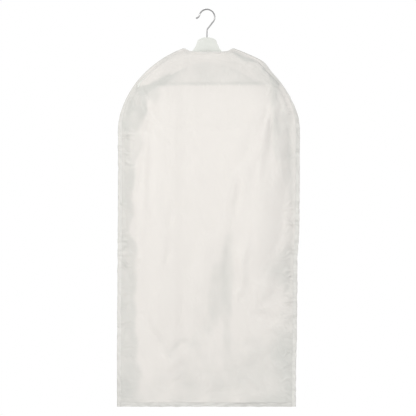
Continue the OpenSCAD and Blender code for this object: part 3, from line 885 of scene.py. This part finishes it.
def top_haze_and_shading(x, z):
    """Painted light in front of the arms, where the white wood shows through the film, and a
    painted shadow under them. Both are weaker on the right.
    """
    right = ease(x / 0.1)
    under = np.maximum(0, arm_under_z(x) - z)
    shade = 0.34 * np.exp(-((under / 0.013) ** 2)) * (under > 0)
    shade = shade * ease((np.abs(x) - 0.055) / 0.05) * ease((0.185 - np.abs(x)) / 0.02)
    # The arms' painted highlight, moved along with the film
    arms = over_arm(x + drift(x, z), z, 0.012)
    return 0.31 + 0.21 * arms * (1 - 0.6 * right) - shade * (1 - 0.5 * right)


def bar_shade(x, z):
    """The bar behind the film, as a soft dark level line."""
    width = 0.0055 + 0.002 * ease(x / 0.1)
    line = np.exp(-(((z - BAR_Z + 0.004) / width) ** 2))
    return line * ease((0.175 - np.abs(x - 0.016)) / 0.05)


def haze_and_shading_of(x, z, front, gathers):
    """How milky the film looks, from 0, clear, to 1, with painted light and shade mixed in."""
    below_bar = ease((BAR_Z + 0.002 - z) / 0.010)
    margin = margin_haze_and_light(x, z)
    value = margin + (0.82 - margin) * middle_haze_and_shade(x, z)
    value = value * below_bar + top_haze_and_shading(x, z) * (1 - below_bar)
    if front:
        # Painted shadow of the bar, and the painted shade lines, with painted light where their
        # strength is below 0
        value = value - 0.30 * bar_shade(x, z) - 0.30 * folds(x, z, PAINTED_SHADE_LINES)
    value = value + 0.07 * ripple(x / 0.09, z / 0.16, 411) + 0.04 * ripple(x / 0.03, z / 0.05, 412)
    # Painted light and shade along the gathers: milkier where the film stands out, darker in the
    # hollows
    value = value + (-42 if front else 42) * gathers
    # The return also paints shade: darker towards the right, away from the key light
    return np.clip(value - 0.10 * ease((x - 0.02) / 0.22), -0.15, 1)


def film_panel(name, outward, seed, node):
    """A panel of film with its puckers, creases, haze and painted shading. Outward is -1 in front,
    1 behind.
    """
    back = outward > 0
    p = finer(panels[name])
    x, y, z = p[..., 0], p[..., 1], p[..., 2]
    gathers = pucker(x, z)
    inner = ease((panel_w(z) - np.abs(x)) / 0.006)
    inner = inner * ease((PEAK_Z - 0.012 - z) / 0.02) * ease((z - PANEL_Z) / 0.01)
    if back:
        calm = ease((np.abs(x - ZIP_X) - ZIP_HALF) / 0.015)
        inner, gathers = inner * calm, gathers * calm
    y = y + gathers + outward * inner * crinkle(x, z, seed)
    # Each panel keeps to its own side of the seams
    clear = outward * (y - seam_y(z) - gathers) - (0.0006 + 0.0010 * inner)
    p[..., 1] = y + outward * np.maximum(0, -clear)
    haze_and_shading = haze_and_shading_of(x, z, not back, gathers)
    p[..., 0] = x + drift(x, z, back)
    obj = thicken(make(name, p, quads(*p.shape[:2], flip=back)), FILM_T)
    paint(obj, "haze_and_shading", haze_and_shading)
    return finish_piece(obj, FILM, "film", BAG, node)


front = film_panel("front_film", -1, 101, "front_panel")
wide = film_panel("back_film_wide", 1, 201, "back_panel_wide")
narrow = film_panel("back_film_narrow", 1, 301, "back_panel_narrow")


# ---- Welded seams ----
def edge_wave(z, side):
    """How the cut edge of a seam wanders in and out."""
    strength = 0.25 + patches(z, PUCKERS[side])
    return 0.0008 * strength * ripple(z / 0.030, z * 0, 71 + side) - 0.0003


def seam_strip(name, side, heights, *nodes):
    """A weld from the hem to the peak, pressed along two lines."""
    t = np.array([-0.04, 0.0, 0.18, 0.27, 0.36, 0.52, 0.62, 0.72, 0.88, 1.0])
    press = np.array([0, 0, 0.2, 1.0, 0.2, 0.2, 1.0, 0.2, 0, 0])
    z = np.repeat(heights[:, None], len(t), 1)
    w0, w1 = panel_w(z), outline_w(z) + edge_wave(z, side) * ease((TIP_Z - z) / 0.05 + 0.3)
    x = side * (w0 + (w1 - w0) * t)
    x = x + drift(side * w0, z)
    y = seam_y(z) + pucker(side * w0, z) + 0.00020 * press
    y = y + t * 0.0016 * (0.2 + patches(z, PUCKERS[side])) * ripple(z / 0.024, z * 0, 81 + side)
    obj = make(name, np.stack([x, y, z], -1), quads(len(heights), len(t), flip=side < 0))
    thicken(obj, WELD_T, 0.0)
    # Painted shade: the left weld darker low down by the hem, the right weld darker in its upper
    # part
    if side < 0:
        tone = 0.12 - 0.22 * ease((-0.98 - z) / 0.12)
    else:
        tone = -0.16 * ease((z + 0.5) / 0.15)
    mottle = 0.15 * ripple(z / 0.03, t * np.ones_like(z), 91 + side)
    paint(obj, "haze_and_shading", tone - 0.06 * ease((t - 0.6) / 0.4) + 0.25 * press + mottle)
    return finish_piece(obj, WELD, "film_weld", BAG, *nodes)


weld_z = np.concatenate([np.linspace(HEM_Z, SIDE_Z, 280)[:-1], row_heights(PEAK_Z, 1, 110)[1:]])
seams = [
    seam_strip("edge_weld_left", -1, weld_z, "side_seam_left", "shoulder_seam_left"),
    seam_strip("edge_weld_right", 1, weld_z, "side_seam_right", "shoulder_seam_right"),
]

# ---- Hem: both layers welded flat, with two pressed lines ----
hem_t = np.array([0, 0.10, 0.30, 0.40, 0.50, 0.66, 0.76, 0.86, 1.0, 1.08])
hem_press = np.array([0, 0, 0.2, 1, 0.2, 0.2, 1, 0.2, 0, 0])[:, None]
hx, ht = np.meshgrid(np.linspace(-1, 1, 200) * (panel_w(HEM_Z) + 0.001), hem_t)
hem_y = seam_y(HEM_Z) + 0.0011 * ripple(hx / 0.06, ht * 0, 61) * (1 - ht) + 0.0003 * hem_press
hem_z = HEM_Z + ht * (PANEL_Z - HEM_Z) + 0.0006 * ripple(hx / 0.035, hx * 0, 62) * (1 - ht)
hem = make("hem_weld", np.stack([hx + drift(hx, hem_z), hem_y, hem_z], -1), quads(*hx.shape))
thicken(hem, HEM_T, 0.0)
# Painted shade: the hem darker towards the right
hem_tone_and_shade = -0.08 - 0.14 * ease(hx / 0.15) + 0.30 * hem_press
paint(hem, "haze_and_shading", hem_tone_and_shade + 0.15 * ripple(hx / 0.03, ht, 63))
finish_piece(hem, WELD, "film_weld", BAG, "hem_seam")

# ---- Turned edges at the neck opening ----
# Across the fold, from its welded edge over the top to the hidden flap: below the edge, outward
FOLD_DROP = EDGE_FOLD * np.array(
    [1.0, 0.93, 0.80, 0.72, 0.64, 0.40, 0.15, 0.0, -0.09, -0.09, 0.0, 0.3, 0.6, 1.0]
)
FOLD_OUT = 0.0008 * np.array(
    [0.7, 0.9, 0.8, 0.35, 0.8, 1.0, 1.1, 1.1, 0.6, -0.6, -1.1, -1.0, -0.8, -0.6]
)
FOLD_LEAN = 0.09


def neck_edge(name, panel, outward, node):
    """The film's edge folded over once and welded down."""
    ring = finer(panels[panel])[-1]
    if outward > 0:
        # The wide back panel stops at the zip, and the edge goes on over the narrow one
        x = np.linspace(left_edge(PEAK_Z), ring[0, 0], 24)[:-1]
        over = np.stack([x, back_y(x, np.full_like(x, PEAK_Z)), PEAK_Z - neck_dip(x)], -1)
        ring = np.concatenate([over, ring])
    drop, out = FOLD_DROP[:, None], FOLD_OUT[:, None]
    x = np.repeat(ring[None, :, 0], len(drop), 0)
    y = ring[None, :, 1] + outward * out + outward * FOLD_LEAN * drop
    z = ring[None, :, 2] - drop + 0.0005 * ripple(x / 0.03, x * 0, 67) * ease(drop / EDGE_FOLD)
    co = np.stack([x + drift(x, z, outward > 0), y, z], -1)
    obj = make(name, co, quads(*x.shape, flip=outward > 0))
    thicken(obj, FILM_T, 0.0)
    paint(obj, "haze_and_shading", 0.45 + 0.2 * ripple(x / 0.04, z / 0.02, 68))
    return finish_piece(obj, WELD, "film_weld", BAG, node)


neck_front = neck_edge("neck_fold_front", "front_film", -1, "neck_edge_front")
neck_back = neck_edge("neck_fold_back", "back_film_wide", 1, "neck_edge_back")


# ---- Zip ----
def zip_tape(name, side, node):
    """Woven tape from the zip's middle over the film's edge. It closes beyond both stops."""
    out = np.array([0.0008, 0.0014, 0.0022, 0.0036, 0.0052, 0.0068, 0.0084, 0.0092, 0.0100])
    lift = np.array([3.6, 4, 3.6, 3.2, 3.4, 6, 7, 7, 6]) * 1e-4
    z = np.repeat(np.linspace(PANEL_Z, narrow_top, 420)[:, None], len(out), 1)
    shut = ease((z - ZIP_TOP_Z - 0.006) / 0.010) + ease((ZIP_FOOT_Z - 0.003 - z) / 0.003)
    closing = 0.0007 * shut * np.clip((0.0022 - out) / 0.0014, 0, 1)
    uneven = 0.00012 * ripple(z / 0.01, z * 0, 75) * (out > 0.009)
    x = ZIP_X + side * (out - closing + uneven)
    waves = 0.0003 * ripple(z / 0.03, x / 0.01, 76 + side) * ease((out - 0.0052) / 0.003)
    y = on_back(ZIP_X, z) + lift + waves
    obj = make(name, np.stack([x, y, z], -1), quads(*z.shape, flip=side > 0))
    thicken(obj, TAPE_T, 0.0)
    finish_piece(obj, TAPE, "zip_tape", BAG, node)


COIL_PITCH, COIL_WIRE_R, COIL_LIFT, COIL_ROOT, COIL_REACH = 0.0016, 0.00032, 0.0013, 0.0024, 0.0028


def zip_coil(name, side, node):
    """One side's spiral of teeth, which lock into the other side's."""
    turns = int((ZIP_TOP_Z - ZIP_FOOT_Z) / COIL_PITCH)
    s = np.arange(turns * 10 + 1) / 10
    a = math.tau * s
    z = ZIP_FOOT_Z + s * COIL_PITCH + (COIL_PITCH / 2 if side > 0 else 0)
    x = ZIP_X + side * (COIL_ROOT - COIL_REACH * (0.5 - 0.5 * np.cos(a)))
    y = on_back(ZIP_X, z) + COIL_LIFT + 0.00055 * np.sin(a)
    obj = tube(name, np.stack([x, y, z], -1), COIL_WIRE_R, sides=6, across=(0.0, 0.0, 1.0))
    finish_piece(obj, COIL, "zip_plastic", BAG, node)


for make_half, stem in ((zip_tape, "tape"), (zip_coil, "coil")):
    make_half(stem + "_left", -1, f"zip_{stem}_left")
    make_half(stem + "_right", 1, f"zip_{stem}_right")
for name, node, voxel, material, slot, body in (
    ("stop_top", "zip_top_stop", 0.00022, COIL, "zip_plastic", BAG),
    ("stop_bottom", "zip_bottom_stop", 0.00022, COIL, "zip_plastic", BAG),
    ("slider_body", "zip_slider", 0.00017, ENAMEL, "zip_enamel", "slider"),
    ("slider_tab", "zip_pull_tab", 0.00017, ENAMEL, "zip_enamel", "pull_tab"),
):
    finish_piece(softened(name, [node], voxel, 4), material, slot, body, node)

# ---- Hanger ----
both = softened("wood_both", ["hanger_arm_left", "hanger_arm_right"], 0.0011, 12)
finish_piece(one_half(both, "wood_arm_left", -1), PAINT, "painted_wood", BAG, "hanger_arm_left")
finish_piece(one_half(both, "wood_arm_right", 1), PAINT, "painted_wood", BAG, "hanger_arm_right")
bpy.data.objects.remove(both)
bar_y = -ARM_SWEEP * ((BAR_HALF - 0.004) / ARM_SWEEP_X) ** 2
bar_end = [(BAR_R * 0.94, BAR_HALF - 0.0005), (BAR_R * 0.80, BAR_HALF), (0.0004, BAR_HALF)]
profile = [(r, -h) for r, h in reversed(bar_end)]
for h in np.linspace(-BAR_HALF + 0.0012, BAR_HALF - 0.0012, 60):
    profile.append((BAR_R * (0.992 + 0.006 * math.sin(h * 61) * math.sin(h * 23)), h))
profile += bar_end
bar = lathe("bar_dowel", profile, (0, bar_y, BAR_Z), "X")
finish_piece(bar, PAINT, "painted_wood", BAG, "trouser_bar")

# ---- Hook ----
WIRE_R, LOOP_R, LEAN, STEM_BEND = 0.0021, 0.0226, math.radians(38), 0.014
LOOP_Z = WIRE_R - LOOP_R
TIP_FROM, TIP_BEND, TIP_TURN = math.radians(167), 0.0107, math.radians(67)
BALL_L, UPSET_H = 0.0026, 0.0014
WASHER_R, WASHER_GAP, HEAD_DROP = 0.005, 0.00045, 0.0013


def bend(cx, cz, r, a0, a1, n):
    a = np.linspace(a0, a1, n)
    return np.stack([cx + r * np.cos(a), 0 * a, cz + r * np.sin(a)], -1)


def straight(x0, z0, x1, z1, n):
    return np.stack([np.linspace(x0, x1, n), np.zeros(n), np.linspace(z0, z1, n)], -1)


lean_l = (LOOP_R * math.cos(LEAN) - STEM_BEND * (1 - math.cos(LEAN))) / math.sin(LEAN)
lean_x, lean_z = LOOP_R * math.cos(LEAN), LOOP_Z - LOOP_R * math.sin(LEAN)
end_x, end_z = lean_x - lean_l * math.sin(LEAN), lean_z - lean_l * math.cos(LEAN)
stem_top = end_z - STEM_BEND * math.sin(LEAN)
tip_cx = (LOOP_R + TIP_BEND) * math.cos(TIP_FROM)
tip_cz = LOOP_Z + (LOOP_R + TIP_BEND) * math.sin(TIP_FROM)
washer_top = float(arm_under_z(WASHER_R)) - WASHER_GAP
stem_foot = washer_top - HEAD_DROP
wire = np.concatenate([
    bend(tip_cx, tip_cz, TIP_BEND, TIP_FROM - math.pi - TIP_TURN, TIP_FROM - math.pi, 24),
    bend(0, LOOP_Z, LOOP_R, TIP_FROM, -LEAN, 96)[1:],
    straight(lean_x, lean_z, end_x, end_z, 12)[1:],
    bend(STEM_BEND, stem_top, STEM_BEND, math.pi - LEAN, math.pi, 20)[1:],
    straight(0, stem_top, 0, stem_foot - UPSET_H, 30)[1:],
])
along = np.linalg.norm(wire - wire[0], axis=1) / BALL_L
ball_r = WIRE_R * (1.0 + 0.25 * np.sqrt(np.clip(1 - (along - 0.3) ** 2, 0, 1)))
radius = np.where(along < 1, ball_r, WIRE_R)
radius[0] = WIRE_R * 0.85
hook = tube("hook_bent_wire", wire, radius, 24)
outward = (wire[0] - wire[1]) / np.linalg.norm(wire[0] - wire[1])
cap_line = wire[0] + outward * np.array([0.0019, 0.0017, 0.0012, 0.0006, -0.0004])[:, None]
tip_cap = tube("hook_tip", cap_line, np.array([0.0004, 0.0011, 0.0019, 0.0024, 0.0024]), 24)
head = lathe("hook_head", [
    (0.0004, -0.0016), (0.0027, -0.0016), (0.0033, -0.0012), (0.0034, -0.0006),
    (0.0031, -0.0002), (0.0021, 0.0),
], (0, 0, stem_foot))
finish_piece(hook, STEEL, "steel", "hook", "hook_wire")
finish_piece(tip_cap, STEEL, "steel", "hook")
finish_piece(head, STEEL, "steel", "hook")
washer = lathe("hook_washer_ring", [
    (0.00218, -0.001), (0.0046, -0.001), (0.0049, -0.0008), (WASHER_R, -0.0005),
    (0.0049, -0.0002), (0.0046, 0), (0.00218, 0), (0.00218, -0.001),
], (0, 0, washer_top))
finish_piece(washer, STEEL, "steel", BAG, "hook_washer")

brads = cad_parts["bar_brads"]
brads.data.materials.clear()
brads.data.materials.append(STEEL)
